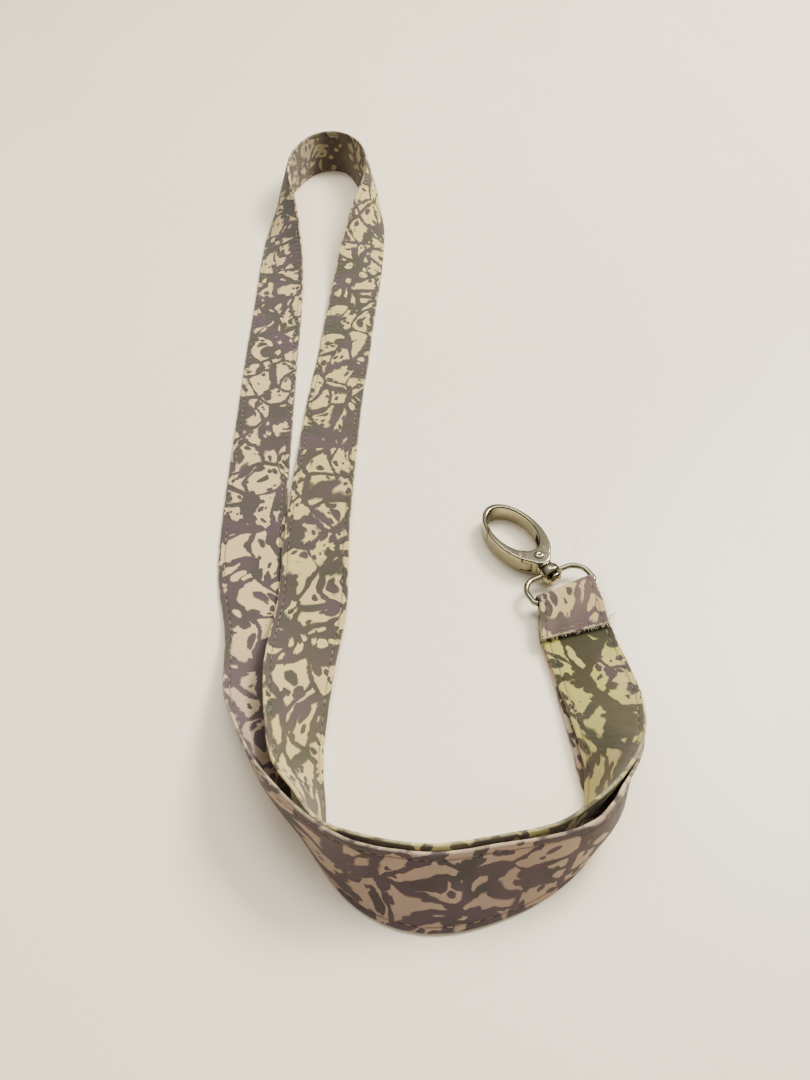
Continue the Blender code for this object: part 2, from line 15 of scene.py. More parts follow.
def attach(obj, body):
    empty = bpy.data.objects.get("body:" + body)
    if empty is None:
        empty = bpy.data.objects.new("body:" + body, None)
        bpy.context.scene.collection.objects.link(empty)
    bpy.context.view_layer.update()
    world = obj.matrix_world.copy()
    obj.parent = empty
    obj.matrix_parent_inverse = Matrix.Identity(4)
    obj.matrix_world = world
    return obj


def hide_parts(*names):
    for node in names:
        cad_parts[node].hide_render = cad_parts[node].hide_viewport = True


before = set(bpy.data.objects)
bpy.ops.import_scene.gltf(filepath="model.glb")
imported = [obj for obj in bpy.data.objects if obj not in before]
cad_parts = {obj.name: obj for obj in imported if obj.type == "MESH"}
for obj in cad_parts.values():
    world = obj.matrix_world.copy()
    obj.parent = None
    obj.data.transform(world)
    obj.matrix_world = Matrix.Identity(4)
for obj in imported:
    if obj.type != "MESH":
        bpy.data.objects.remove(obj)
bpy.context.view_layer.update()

MM = 0.001

# Strap: its width, thickness and flap. At the bar it is gathered, over GATHER_LENGTH round it, and
# its middle surface passes at WRAP_RADIUS.
STRAP_WIDTH = 20.0
STRAP_WIDTH_AT_BAR = 18.2
STRAP_THICKNESS = 1.0
GATHER_LENGTH = 8.0
WRAP_RADIUS = 1.6
FLAP_LENGTH = 15.0
# Half of its thickness in the middle and at its turned-in edges, and where and how it changes
MIDDLE_HALF = 0.40
EDGE_HALF = 0.48
TURN_IN = 4.2
TURN_IN_SLOPE = 1.4
# Furrow along each line of stitches, and the cloth's puff between it and the edge
FURROW_DEPTH = 0.17
FURROW_HALF_WIDTH = 0.32
PUFF_HEIGHT = 0.03
PUFF_INSET = 0.9
PUFF_HALF_WIDTH = 0.5
# The mesh is fine along its first part, which has the flap and the bar
FINE_PART = 40
FINE_STEP = 0.45
COARSE_STEP = 1.3
# Columns across half a face, as shares of half the width, and the angles of the rounded edge
FACE_SHARES = np.array(
    [0.955, 0.925, 0.90, 0.87, 0.845, 0.82, 0.795, 0.765, 0.72, 0.65, 0.5, 0.3, 0.1]
)
EDGE_ANGLES = np.radians([60, 25, -25, -60])
WAVE_HEIGHT = 0.05
ROUGH_HEIGHT = 0.03
WIDTH_WANDER = 0.12

# Stitches
STITCH_INSET = 1.8
STITCH_PITCH = 2.7
STITCH_LENGTH = 1.9
STITCH_RADIUS = 0.12
STITCH_FLATNESS = 0.8
STITCH_SIDES = 6
# Rings of one stitch: share of its length, share of its radius, and rise
STITCH_SHAPE = ((0.0, 0.35, -0.16), (0.22, 1.0, 0.02), (0.78, 1.0, 0.02), (1.0, 0.35, -0.16))
SEAM_SETBACK = 1.6

# Frayed threads
END_THREADS = 54
SIDE_THREADS = 64
FRAY_SEED = 7
FRAY_SIDES = 4
FRAY_STEPS = 4
FRAY_ROOT = 0.35

# Swivel loop
WIRE_RADIUS = 0.85
LOOP_HALF_WIDTH = 10.1
LOOP_DEPTH = 8.0
LOOP_BAR_CORNER = 1.2
LOOP_BOW_CORNER = 4.6
COLLAR_RADIUS = 3.3
COLLAR_BORE = 1.6
COLLAR_START = 6.4
COLLAR_END = 9.2

# Hook, measured along the swivel axis from the loop's bar
STEM_RADIUS = 1.2
HEAD_RADIUS = 2.1
HEAD_START = 4.8
HEAD_END = 5.9
FLANGE_RADIUS = 2.6
FLANGE_START = 9.7
HOOK_HEIGHT = 5.5
OVAL_HALF_WIDTH = 7.8
OVAL_HALF_LENGTH = 13.6
OVAL_CENTRE = 24.8
EYE_HALF_WIDTH = 6.1
EYE_HALF_LENGTH = 10.2
EYE_CENTRE = 26.4
HOOK_BEVEL = 0.5
PIVOT = 13.5
BASE_RADIUS = 3.4
SLOT_RADIUS = 2.75
SLOT_HEIGHT = 3.4
TONGUE_HEIGHT = 2.8
TONGUE_RADIUS = 2.35
SPRING_ROOM = 1.6
SPRING_ROOM_RADIUS = 2.75
RIVET_RADIUS = 0.7
RIVET_HOLE_RADIUS = 0.78
RIVET_GAP = 0.1
# Gate: angles of its tip and its lap round the oval, the radius of its heel round the rivet, where
# across the band the nose and the gate stop at the lap, and half of the crack between them
GATE_TIP = 162.0
GATE_LAP = 154.0
GATE_HEEL = 5.4
NOSE_SHARE = 0.41
GATE_SHARE = 0.59
HALF_CRACK = 0.2

# Places of the bar and of the hook's axis in the strap's layout, the layout's point that is the
# model's origin, and the turns of the loop and the hook to the left of +Y and below the horizon
BAR = (48.43, -99.01, 4.16)
HOOK_FOOT = (49.0, -98.7, 4.16)
FOOTPRINT_CENTRE = (0.437, -0.358, -0.046)
LOOP_TURN = 26.0
HOOK_TURN = 31.0
AXIS_DROP = 2.0

# Camera: place over the table, tilt below the horizon, and focal length in heights of the picture
CAMERA_PLACE = (3.0, -243.0, 183.0)
CAMERA_TILT = 47.5
FOCAL_LENGTH = 811 / 1080
CLIP_START = 0.01

# Table and lights, in metres and watts. The table lies below the cloth's waviest part, in mm.
TABLE_HALF_SIDE = 3.0
TABLE_DROP = 0.05
# Each light has its place, size, watts and tone.
WINDOW = ((0.75, 0.55, 1.0), (0.6, 0.45), 33.5, (1.0, 0.965, 0.885))
CEILING = ((0.1, 0.5, 1.5), (1.4, 0.5), 18.0, (1.0, 0.97, 0.90))
# Light of the room at heights from the horizon up to straight overhead
WALLS = ((0.0, 0.07), (0.26, 0.10), (0.46, 0.5), (0.66, 1.05), (1.0, 1.25))
ROOM_TINT = (1.0, 0.985, 0.95)
ROOM_STRENGTH = 0.74

# Layers of the print: turn in degrees and pitches in mm of the cells that hold them. For marks,
# also the least and most radius in cells, and the share of cells that have one.
CELLS = (38, 7.5, 12.0)
DOTS = ((-35, 2.5, 3.4), (0.18, 0.46, 0.80))
LOBES = ((15, 4.1, 5.6), (0.22, 0.50, 0.48))
BLOBS = ((-20, 3.6, 5.2), (0.25, 0.52, 0.75))
PIPS = ((50, 2.1, 2.6), (0.15, 0.32, 0.4))
# Cells whose chance is above this are dark, and the flap adds to theirs
DARK_CELLS = 0.715
FLAP_DARKENING = 0.45
YARN_PITCH = 0.42

# Columns of the strap's table: centre, direction across the width, belly, width, outward normal
CENTRE = slice(0, 3)
SIDEWAYS = slice(3, 6)
BELLY = 6
WIDTH = 7
NORMAL = slice(8, 11)

# Stations of the strap. Each holds a point on its inner edge "i", outer edge "o" or centre "c" (x,
# y and the height of the lowest face there), the heading of the width from inner to outer edge,
# the tilt of the width above the table, and how far the middle bellies out on the upper side.
# "Inner" faces the middle of the loop. The angles are in degrees.
# The flap is the folded-back end on top, from its cut edge to the bar.
FLAP = [
    ("c", 49.2, -112.7, 3.4, 16, 0, 0.0),
    ("c", 48.9, -105.6, 4.6, 21, 0, 0.0),
]
# The outer layer leaves the bar underneath, stands on edge round the bottom bend and becomes the
# left leg.
OUTER_LAYER = [
    ("i", 39.8, -112.4, 0.3, 12, 0, 0.0),
    ("i", 41.7, -125.0, 0.1, 1, 5, 0.0),
    ("i", 43.0, -136.0, 0.0, -12, 20, -0.5),
    ("i", 44.2, -145.5, 0.0, -28, 40, -1.5),
    ("i", 45.2, -155.0, 0.0, -38, 62, -2.8),
    ("i", 46.8, -164.0, 0.0, -42, 82, -3.0),
    ("i", 44.0, -172.2, 0.0, -50, 92, -1.2),
    ("i", 35.3, -180.0, 0.0, -63, 105, 0.0),
    ("i", 23.5, -185.7, 0.0, -80, 118, 0.0),
    ("i", 11.0, -188.4, 0.0, -92, 122, 0.0),
    ("i", -1.2, -186.6, 0.0, -108, 118, 0.0),
    ("i", -10.8, -180.2, 0.0, -128, 104, 0.0),
    ("i", -17.3, -171.8, 0.0, -138, 91, -0.6),
    ("i", -22.6, -163.0, 0.0, -143, 82, -1.8),
    ("i", -24.9, -153.0, 0.0, -148, 68, -2.5),
    ("i", -24.0, -141.6, 0.0, -160, 46, -1.5),
    ("i", -24.4, -131.0, 0.0, -170, 24, -0.5),
    ("o", -46.4, -112.0, 1.5, -176, 4, 0.0),
    ("o", -50.8, -95.0, 0.1, -177, 0, 0.0),
    ("o", -54.0, -67.0, 0.0, -178, 0, 0.0),
    ("o", -57.0, -6.0, 0.0, -180, 0, 0.0),
    ("o", -58.2, 20.0, 0.0, -180, 0, 0.0),
    ("o", -59.0, 45.0, 0.0, -180, -2, 0.0),
]
# The neck arc stands on its outer edge and leads from the left leg to the right one.
NECK_ARC = [
    ("o", -60.2, 77.0, 0.0, 180, -12, 0.0),
    ("o", -60.9, 103.0, 0.0, 178, -30, 0.0),
    ("o", -60.5, 123.0, 0.0, 175, -48, 0.8),
    ("o", -58.0, 142.0, 0.0, 168, -70, 1.5),
    ("o", -53.6, 159.0, 0.0, 160, -86, 1.0),
    ("o", -48.5, 174.0, 0.0, 150, -90, 0.0),
    ("o", -43.0, 183.5, 0.0, 125, -90, 0.0),
    ("o", -35.5, 187.6, 0.0, 90, -90, 0.0),
    ("o", -28.0, 184.5, 0.0, 52, -92, 0.0),
    ("o", -23.0, 175.0, 0.0, 28, -98, 0.0),
    ("o", -17.5, 159.0, 0.0, 20, -94, 1.5),
    ("o", -10.5, 142.0, 0.0, 12, -74, 2.5),
    ("o", -7.0, 123.0, 0.0, 5, -50, 1.2),
    ("o", -6.6, 103.0, 0.0, 2, -30, 0.0),
    ("o", -7.4, 77.0, 0.0, 0, -12, 0.0),
    ("o", -9.4, 45.0, 0.0, 0, -2, 0.0),
    ("o", -10.6, 20.0, 0.0, 0, 0, 0.0),
]
# The inner layer is listed from the bar like the outer one, with "inner" facing the middle of the
# bottom bend. It ends as the right leg, which crosses on top of the left one.
INNER_LAYER = [
    ("c", 48.5, -102.5, 3.5, 23, 0, 0.0),
    ("i", 39.8, -112.4, 2.0, 12, 0, 0.0),
    ("i", 42.0, -125.0, 1.6, -1, 8, 0.0),
    ("i", 43.9, -136.0, 2.2, -16, 29, -0.5),
    ("i", 45.4, -145.8, 3.2, -34, 48, -1.2),
    ("i", 45.8, -154.0, 2.4, -48, 64, -1.6),
    ("i", 44.6, -162.6, 0.6, -56, 80, -1.0),
    ("i", 40.7, -170.4, 0.0, -62, 92, 0.0),
    ("i", 36.0, -176.0, 0.0, -68, 100, 0.0),
    ("i", 29.3, -181.0, 0.0, -75, 111, 0.0),
    ("i", 21.0, -184.6, 0.0, -82, 119, 0.0),
    ("i", 10.4, -186.7, 0.0, -92, 122.5, 0.0),
    ("i", -0.8, -184.9, 0.0, -107, 118, 0.0),
    ("i", -9.2, -178.9, 0.0, -125, 104, 0.0),
    ("i", -14.7, -170.7, 0.0, -138, 86, 0.0),
    ("i", -15.8, -161.0, 0.0, -142, 71, 0.0),
    ("i", -17.0, -151.0, 0.0, -145, 55, -0.5),
    ("i", -16.6, -137.0, 1.0, -153, 40, 0.0),
    ("i", -15.2, -121.0, 1.5, -166, 23, 0.0),
    ("o", -33.2, -103.0, 2.1, -177, 3, 0.0),
    ("o", -33.8, -78.0, 1.7, -179, 0, 0.0),
    ("o", -33.3, -39.0, 0.7, 180, 0, 0.0),
    ("o", -32.3, -6.0, 0.0, 180, 0, 0.0),
]


# ---- strap ----


def direction(heading, tilt):
    h, t = radians(heading), radians(tilt)
    return np.array([cos(t) * cos(h), cos(t) * sin(h), sin(t)])


def width_at(x, y):
    away = min(hypot(x - BAR[0], y - BAR[1]) / GATHER_LENGTH, 1.0)
    return STRAP_WIDTH_AT_BAR + (STRAP_WIDTH - STRAP_WIDTH_AT_BAR) * away


def row(kind, x, y, low, heading, tilt, belly):
    """A station as one row of numbers: centre, width direction, belly, width."""
    across = direction(heading, tilt)
    width = width_at(x, y)
    lift = low + STRAP_THICKNESS / 2 * abs(cos(radians(tilt)))
    centre = np.array([x, y, lift]) - FOOTPRINT_CENTRE
    centre = centre + across * width / 2 * {"i": 1, "c": 0, "o": -1}[kind]
    return np.concatenate([centre, across, [belly, width]])


def turned_over(station_row):
    flipped = station_row.copy()
    flipped[SIDEWAYS] *= -1
    return flipped


def wrap_rows():
    """The half turn round the bar, from the flap above it to the layer below it."""
    ahead = direction(90 + LOOP_TURN, 0)
    across = direction(LOOP_TURN, 0)
    rows = []
    steps = 6
    for step in range(steps + 1):
        angle = pi / 2 - step * pi / steps
        turn = WRAP_RADIUS * (cos(angle) * ahead + sin(angle) * np.array([0, 0, 1]))
        centre = np.array(BAR) - FOOTPRINT_CENTRE + turn
        rows.append(np.concatenate([centre, across, [0, STRAP_WIDTH_AT_BAR]]))
    return rows


def strap_rows():
    there = [row(*station) for station in OUTER_LAYER + NECK_ARC]
    back = [turned_over(row(*station)) for station in reversed(INNER_LAYER)]
    return np.array([row(*station) for station in FLAP] + wrap_rows() + there + back)


def bends(at, rows):
    """Second derivatives at the stations of the natural cubic spline through them."""
    span = np.diff(at)
    rise = np.diff(rows, axis=0) / span[:, None]
    matrix = np.eye(len(rows))
    right = np.zeros_like(rows)
    for i in range(1, len(rows) - 1):
        matrix[i, i - 1 : i + 2] = (span[i - 1], 2 * (span[i - 1] + span[i]), span[i])
        right[i] = 6 * (rise[i] - rise[i - 1])
    return np.linalg.solve(matrix, right)


class Ribbon:
    """The strap's middle surface, asked by length along it and distance across it."""

    def __init__(self, rows, per_span=24):
        spans = np.linalg.norm(np.diff(rows[:, CENTRE], axis=0), axis=1) ** 0.5
        at = np.concatenate([[0], np.cumsum(spans)])
        bend = bends(at, rows)
        samples = []
        for i in range(len(rows) - 1):
            span = at[i + 1] - at[i]
            b = (np.arange(per_span) / per_span * span)[:, None]
            a = span - b
            samples.append(
                (bend[i] * a**3 + bend[i + 1] * b**3) / (6 * span)
                + (rows[i] / span - bend[i] * span / 6) * a
                + (rows[i + 1] / span - bend[i + 1] * span / 6) * b
            )
        path = np.concatenate([*samples, rows[-1:]])
        path[:, SIDEWAYS] /= np.linalg.norm(path[:, SIDEWAYS], axis=1)[:, None]
        along = np.gradient(path[:, CENTRE], axis=0)
        normals = np.cross(along, path[:, SIDEWAYS])
        normals /= np.linalg.norm(normals, axis=1)[:, None]
        self.table = np.hstack([path, normals])
        steps = np.linalg.norm(np.diff(path[:, CENTRE], axis=0), axis=1)
        self.lengths = np.concatenate([[0], np.cumsum(steps)])
        self.length = self.lengths[-1]

    def at(self, where):
        return np.array([np.interp(where, self.lengths, column) for column in self.table.T]).T

    def points(self, where, across, out):
        """Points for arrays of length, distance across and distance out of the middle surface."""
        spots = self.at(where)
        bulge = spots[:, BELLY] * (1 - (2 * across / spots[:, WIDTH]) ** 2)
        sideways = spots[:, SIDEWAYS] * across[:, None]
        return spots[:, CENTRE] + sideways + spots[:, NORMAL] * (out + bulge)[:, None]


def ripple(values, seed, *periods):
    """Smooth repeatable wobble from -1 to 1 along a length."""
    total = np.zeros_like(values)
    for k, period in enumerate(periods):
        total += np.sin(2 * pi * values / period + seed * (k + 1.7)) / len(periods)
    return total


def half_thickness(across, width, where):
    """Half of the cloth's thickness: fuller at the turned-in edges, drawn in along the stitches."""
    inset = width / 2 - np.abs(across)
    fuller = np.clip((TURN_IN - inset) / TURN_IN_SLOPE, 0, 1)
    half = MIDDLE_HALF + (EDGE_HALF - MIDDLE_HALF) * fuller * fuller * (3 - 2 * fuller)
    pull = 0.75 + 0.25 * np.cos(2 * pi * where / STITCH_PITCH)
    in_furrow = np.exp(-(((inset - STITCH_INSET) / FURROW_HALF_WIDTH) ** 2))
    half = half - FURROW_DEPTH * pull * in_furrow
    in_puff = np.exp(-(((inset - PUFF_INSET) / PUFF_HALF_WIDTH) ** 2))
    return half + PUFF_HEIGHT * np.sin(2 * pi * where / STITCH_PITCH) * in_puff


def strap_columns():
    """Columns round the cloth: those on a face hold their share of half the width and the face's
    side, and those on an edge hold the edge's side and their angle."""
    face = np.concatenate([-FACE_SHARES, FACE_SHARES[::-1]])
    upper = [("flat", share, 1) for share in face]
    right = [("edge", 1, angle) for angle in EDGE_ANGLES]
    lower = [("flat", share, -1) for share in face[::-1]]
    left = [("edge", -1, angle) for angle in EDGE_ANGLES[::-1]]
    return upper + right + lower + left


def strap_mesh(ribbon):
    """The whole strap as a pressed tube, with its way along and round the cloth kept as UVs."""
    near = np.arange(0, FINE_PART, FINE_STEP)
    left_over = ribbon.length - FINE_PART
    far = np.linspace(FINE_PART, ribbon.length, ceil(left_over / COARSE_STEP))
    rings = np.concatenate([near, far])
    spots = ribbon.at(rings)
    columns = strap_columns()
    wave = WAVE_HEIGHT * ripple(rings, 1.3, 47, 31, 19)
    rough = ROUGH_HEIGHT * ripple(rings, 4.1, 9.1, 6.3, 13.7)
    grid, edges = [], []
    for kind, share, side in columns:
        width = spots[:, WIDTH] + WIDTH_WANDER * ripple(rings, 2.2 + share, 11.3, 7.1)
        if kind == "flat":
            across = share * width / 2
            out = side * half_thickness(across, width, rings) + wave * abs(share)
            out = out + rough * share * share
        else:
            across = share * (width / 2 - EDGE_HALF * (1 - cos(side)))
            out = EDGE_HALF * 0.98 * sin(side) + wave + rough
        grid.append(ribbon.points(rings, across, out))
        edges.append(width / 2 - np.abs(across))
    grid, edges = np.array(grid), np.array(edges)
    halfway = grid[:, len(rings) // 2]
    steps = np.linalg.norm(np.diff(halfway, axis=0, append=halfway[:1]), axis=1)
    round_way = np.concatenate([[0], np.cumsum(steps)])
    count, many = len(columns), len(rings)
    faces, uvs = [], []
    for j in range(many - 1):
        for k in range(count):
            n = (k + 1) % count
            faces.append((j * count + k, j * count + n, (j + 1) * count + n, (j + 1) * count + k))
            left, right = round_way[k], round_way[k + 1]
            low, high = rings[j], rings[j + 1]
            uvs += [(left, low), (right, low), (right, high), (left, high)]
    for j, order in ((0, range(count - 1, -1, -1)), (many - 1, range(count))):
        faces.append(tuple(j * count + k for k in order))
        uvs += [(round_way[k], rings[j]) for k in order]
    places = grid.transpose(1, 0, 2).reshape(-1, 3) * MM
    mesh = bpy.data.meshes.new("strap_cloth")
    mesh.from_pydata(places.tolist(), [], faces)
    layer = mesh.uv_layers.new(name="cloth")
    layer.data.foreach_set("uv", np.array(uvs, np.float32).ravel())
    attribute = mesh.attributes.new("inset", "FLOAT", "POINT")
    attribute.data.foreach_set("value", edges.T.reshape(-1).astype(np.float32))
    if mesh_volume(mesh) < 0:
        mesh.flip_normals()
    mesh.shade_smooth()
    return mesh


def mesh_volume(mesh):
    """Volume inside the mesh, which is below 0 if its faces point inwards."""
    total = 0.0
    for polygon in mesh.polygons:
        total += polygon.center.dot(polygon.normal) * polygon.area
    return total / 3


def added(name, data):
    """A new object in the scene."""
    made = bpy.data.objects.new(name, data)
    bpy.context.scene.collection.objects.link(made)
    return made


def piece(name, mesh, material, body="strap", place=None):
    """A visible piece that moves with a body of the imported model."""
    made = added(name, mesh)
    mesh.materials.clear()
    mesh.materials.append(material)
    if place is not None:
        made.matrix_world = place
    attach(made, body)
    return made


def stitches_mesh(name, runs):
    """Short arched stitches. Each run holds a stitch's start, end and outward direction."""
    places, faces = [], []
    sides, rings = STITCH_SIDES, len(STITCH_SHAPE)
    for start, end, out in runs:
        along = (end - start) / np.linalg.norm(end - start)
        side = np.cross(out, along)
        first = len(places)
        for share, fat, rise in STITCH_SHAPE:
            middle = start + (end - start) * share + out * rise
            for k in range(sides):
                a = 2 * pi * k / sides
                spoke = cos(a) * side + STITCH_FLATNESS * sin(a) * out
                places.append(middle + STITCH_RADIUS * fat * spoke)
        for r in range(rings - 1):
            for k in range(sides):
                n = (k + 1) % sides
                a, b = first + r * sides, first + (r + 1) * sides
                faces.append((a + k, b + k, b + n, a + n))
        faces.append(tuple(first + k for k in range(sides)))
        last = first + (rings - 1) * sides
        faces.append(tuple(last + k for k in range(sides - 1, -1, -1)))
    mesh = bpy.data.meshes.new(name)
    mesh.from_pydata((np.array(places) * MM).tolist(), [], faces)
    if mesh_volume(mesh) < 0:
        mesh.flip_normals()
    mesh.shade_smooth()
    return mesh


def stitch_line(ribbon, name, edge, face):
    """A row of stitches along one edge of one face."""
    starts = np.arange(0.6, ribbon.length - STITCH_LENGTH - 0.3, STITCH_PITCH)
    ends = starts + STITCH_LENGTH
    rows = []
    for where in (starts, ends):
        width = ribbon.at(where)[:, WIDTH]
        wander = 0.10 * ripple(where, 3.1 + edge, 23, 37)
        across = edge * (width / 2 - STITCH_INSET + wander)
        rows.append(ribbon.points(where, across, np.full(len(where), face * (EDGE_HALF - 0.14))))
    outs = ribbon.at((starts + ends) / 2)[:, NORMAL] * face
    return stitches_mesh(name, zip(rows[0], rows[1], outs))


def seam_line(ribbon, name, where, face):
    """A row of stitches across the strap."""
    spot = ribbon.at(where)
    half = spot[WIDTH] / 2 - STITCH_INSET - 1.0
    edges = np.arange(-half, half - STITCH_LENGTH, STITCH_PITCH)
    where_all = np.full(len(edges), where)
    out = np.full(len(edges), face * (MIDDLE_HALF + 0.05))
    lean = 0.25 * ripple(edges, 0.7, 9, 5)
    starts = ribbon.points(where_all + lean, edges, out)
    ends = ribbon.points(where_all + lean, edges + STITCH_LENGTH, out)
    return stitches_mesh(name, zip(starts, ends, [spot[NORMAL] * face] * len(edges)))


def at_bar(ribbon):
    """Length along the strap where it passes over the far side of the bar."""
    near = ribbon.lengths < FINE_PART
    ahead = ribbon.table[near, CENTRE] @ direction(90 + LOOP_TURN, 0)
    return ribbon.lengths[near][np.argmax(ahead)]


def face_outwards(mesh, weld=0.0):
    """Turn the mesh's faces outwards, once points nearer than the weld distance are joined."""
    bm = bmesh.new()
    bm.from_mesh(mesh)
    if weld:
        bmesh.ops.remove_doubles(bm, verts=bm.verts, dist=weld)
    bmesh.ops.recalc_face_normals(bm, faces=bm.faces)
    bm.to_mesh(mesh)
    bm.free()


def fibre_roots(ribbon, random):
    """Where loose threads leave the cloth, which way they head, and how long they are."""
    here = ribbon.at(0.0)
    away = here[CENTRE] - ribbon.at(0.6)[CENTRE]
    away /= np.linalg.norm(away)
    for _ in range(END_THREADS):
        across = np.array([9.4 - 18.4 * random.random() ** 1.6])
        spot = ribbon.points(np.array([0.0]), across, np.array([random.uniform(-0.2, 0.3)]))[0]
        heading = away + here[SIDEWAYS] * random.normal(0, 0.6)
        heading = heading - here[NORMAL] * random.uniform(0.0, 0.35)
        yield spot, heading, -here[NORMAL], random.uniform(0.4, 1.2)
    for _ in range(SIDE_THREADS):
        where = np.array([abs(random.normal(0, 5.0))])
        side = ribbon.at(where)[0]
        across = np.array([side[WIDTH] / 2 - 0.1])
        spot = ribbon.points(where, across, np.array([random.uniform(-0.4, 0.2)]))[0]
        heading = side[SIDEWAYS] + away * random.normal(0.1, 0.7)
        heading = heading - side[NORMAL] * random.uniform(-0.2, 0.4)
        length = random.uniform(0.8, 1.8) * (1.9 if random.random() < 0.3 else 1)
        yield spot, heading, -side[NORMAL], length


def fibres_mesh(name, ribbon, seed):
    """Loose threads along the flap's cut edge and one of its sides, each bending its own way."""
    random = np.random.default_rng(seed)
    places, faces = [], []
    for spot, heading, up, length in fibre_roots(ribbon, random):
        heading = heading / np.linalg.norm(heading)
        side = np.cross(heading, up)
        side /= np.linalg.norm(side)
        over = np.cross(side, heading)
        curl = side * random.normal(0, 0.6) + over * random.uniform(-0.3, 0.3)
        radius = random.uniform(0.06, 0.11)
        first = len(places)
        for r in range(FRAY_STEPS + 1):
            t = r / FRAY_STEPS
            middle = spot + heading * (t * length - FRAY_ROOT) + curl * t * t * length * 0.6
            for k in range(FRAY_SIDES):
                a = 2 * pi * k / FRAY_SIDES
                places.append(middle + radius * (1 - 0.5 * t) * (cos(a) * side + sin(a) * over))
        for r in range(FRAY_STEPS):
            for k in range(FRAY_SIDES):
                n = (k + 1) % FRAY_SIDES
                a, b = first + r * FRAY_SIDES, first + (r + 1) * FRAY_SIDES
                faces.append((a + k, a + n, b + n, b + k))
        last = first + FRAY_STEPS * FRAY_SIDES
        faces.append(tuple(first + k for k in range(FRAY_SIDES - 1, -1, -1)))
        faces.append(tuple(last + k for k in range(FRAY_SIDES)))
    mesh = bpy.data.meshes.new(name)
    mesh.from_pydata((np.array(places) * MM).tolist(), [], faces)
    face_outwards(mesh)
    mesh.shade_smooth()
    return mesh


# ---- metal ----


def settled(made, name):
    """The object's shape with its modifiers applied, as a clean mesh. The object is removed."""
    bpy.context.view_layer.update()
    graph = bpy.context.evaluated_depsgraph_get()
    mesh = bpy.data.meshes.new_from_object(made.evaluated_get(graph))
    mesh.name = name
    face_outwards(mesh, weld=1e-6)
    bpy.data.objects.remove(made)
    return mesh


def boolean(mesh, operation, other):
    """Mesh joined with or cut by another. Both are used up."""
    target = added("target", mesh)
    tool = added("tool", other)
    modifier = target.modifiers.new("cut", "BOOLEAN")
    modifier.operation = operation
    modifier.object = tool
    modifier.solver = "EXACT"
    result = settled(target, mesh.name)
    bpy.data.objects.remove(tool)
    return result


def add_spline(curve, points, closed):
    spline = curve.splines.new("POLY")
    spline.points.add(len(points) - 1)
    for point, place in zip(spline.points, points):
        x, y, z = (*place, 0)[:3]
        point.co = (x * MM, y * MM, z * MM, 1)
    spline.use_cyclic_u = closed


def plate_mesh(name, outlines, height, rounding=0.0):
    """Flat plate between its outlines, with its rims rounded inside them by the given radius."""
    curve = bpy.data.curves.new(name, "CURVE")
    curve.dimensions = "2D"
    for outline in outlines:
        add_spline(curve, outline, closed=True)
    curve.fill_mode = "BOTH"
    curve.extrude = (height / 2 - rounding) * MM
    if rounding:
        curve.bevel_depth = rounding * MM
        curve.bevel_resolution = 3
        curve.offset = -rounding * MM
    return settled(added(name, curve), name)


def wire_mesh(name, points, radius, resolution):
    """A round wire along points in a plane, closed at both ends."""
    curve = bpy.data.curves.new(name, "CURVE")
    curve.dimensions = "3D"
    add_spline(curve, points, closed=False)
    curve.bevel_depth = radius * MM
    curve.bevel_resolution = resolution
    curve.use_fill_caps = True
    return settled(added(name, curve), name)


def turned_mesh(name, profile, closed=False, steps=64, upright=False):
    """A turned shape about +Y, or about +Z when upright, from radius and distance pairs."""
    mesh = bpy.data.meshes.new(name)
    count = len(profile)
    edges = [(k, (k + 1) % count) for k in range(count if closed else count - 1)]
    mesh.from_pydata([(r * MM, 0, h * MM) for r, h in profile], edges, [])
    made = added(name, mesh)
    screw = made.modifiers.new("Turn", "SCREW")
    screw.steps = screw.render_steps = steps
    screw.use_merge_vertices = True
    screw.merge_threshold = 0.01 * MM
    result = settled(made, name)
    if not upright:
        result.transform(Euler((-pi / 2, 0, 0)).to_matrix().to_4x4())
    return result


def rounded_profile(corners, radius, steps=4):
    """Profile with each inner corner replaced by a short arc-like curve."""
    points = [corners[0]]
    for before, corner, after in zip(corners, corners[1:], corners[2:]):
        a, b, c = (np.array(p, float) for p in (before, corner, after))
        cut = min(radius, np.linalg.norm(a - b) * 0.45, np.linalg.norm(c - b) * 0.45)
        start = b + (a - b) / np.linalg.norm(a - b) * cut
        end = b + (c - b) / np.linalg.norm(c - b) * cut
        for k in range(steps + 1):
            t = k / steps
            points.append(tuple((1 - t) ** 2 * start + 2 * t * (1 - t) * b + t * t * end))
    return points + [corners[-1]]


def arc(curve, start, end, step=3):
    """Points of a curve between two angles, about a step apart."""
    count = max(1, ceil(abs(end - start) / step))
    return [curve(start + (end - start) * k / count) for k in range(count + 1)]


def oval(half_width, half_length, centre):
    """Curve round a centre, asked by the angle in degrees."""

    def point(angle):
        a = radians(angle)
        return (centre[0] + half_width * cos(a), centre[1] + half_length * sin(a))

    return point


def circle(radius, centre):
    return oval(radius, radius, centre)


outer_oval = oval(OVAL_HALF_WIDTH, OVAL_HALF_LENGTH, (0, OVAL_CENTRE))
eye_oval = oval(EYE_HALF_WIDTH, EYE_HALF_LENGTH, (0, EYE_CENTRE))


def band(share):
    """Curve between the oval's outer outline at share 0 and its eye's at share 1."""

    def point(angle):
        return tuple(a + (b - a) * share for a, b in zip(outer_oval(angle), eye_oval(angle)))

    return point


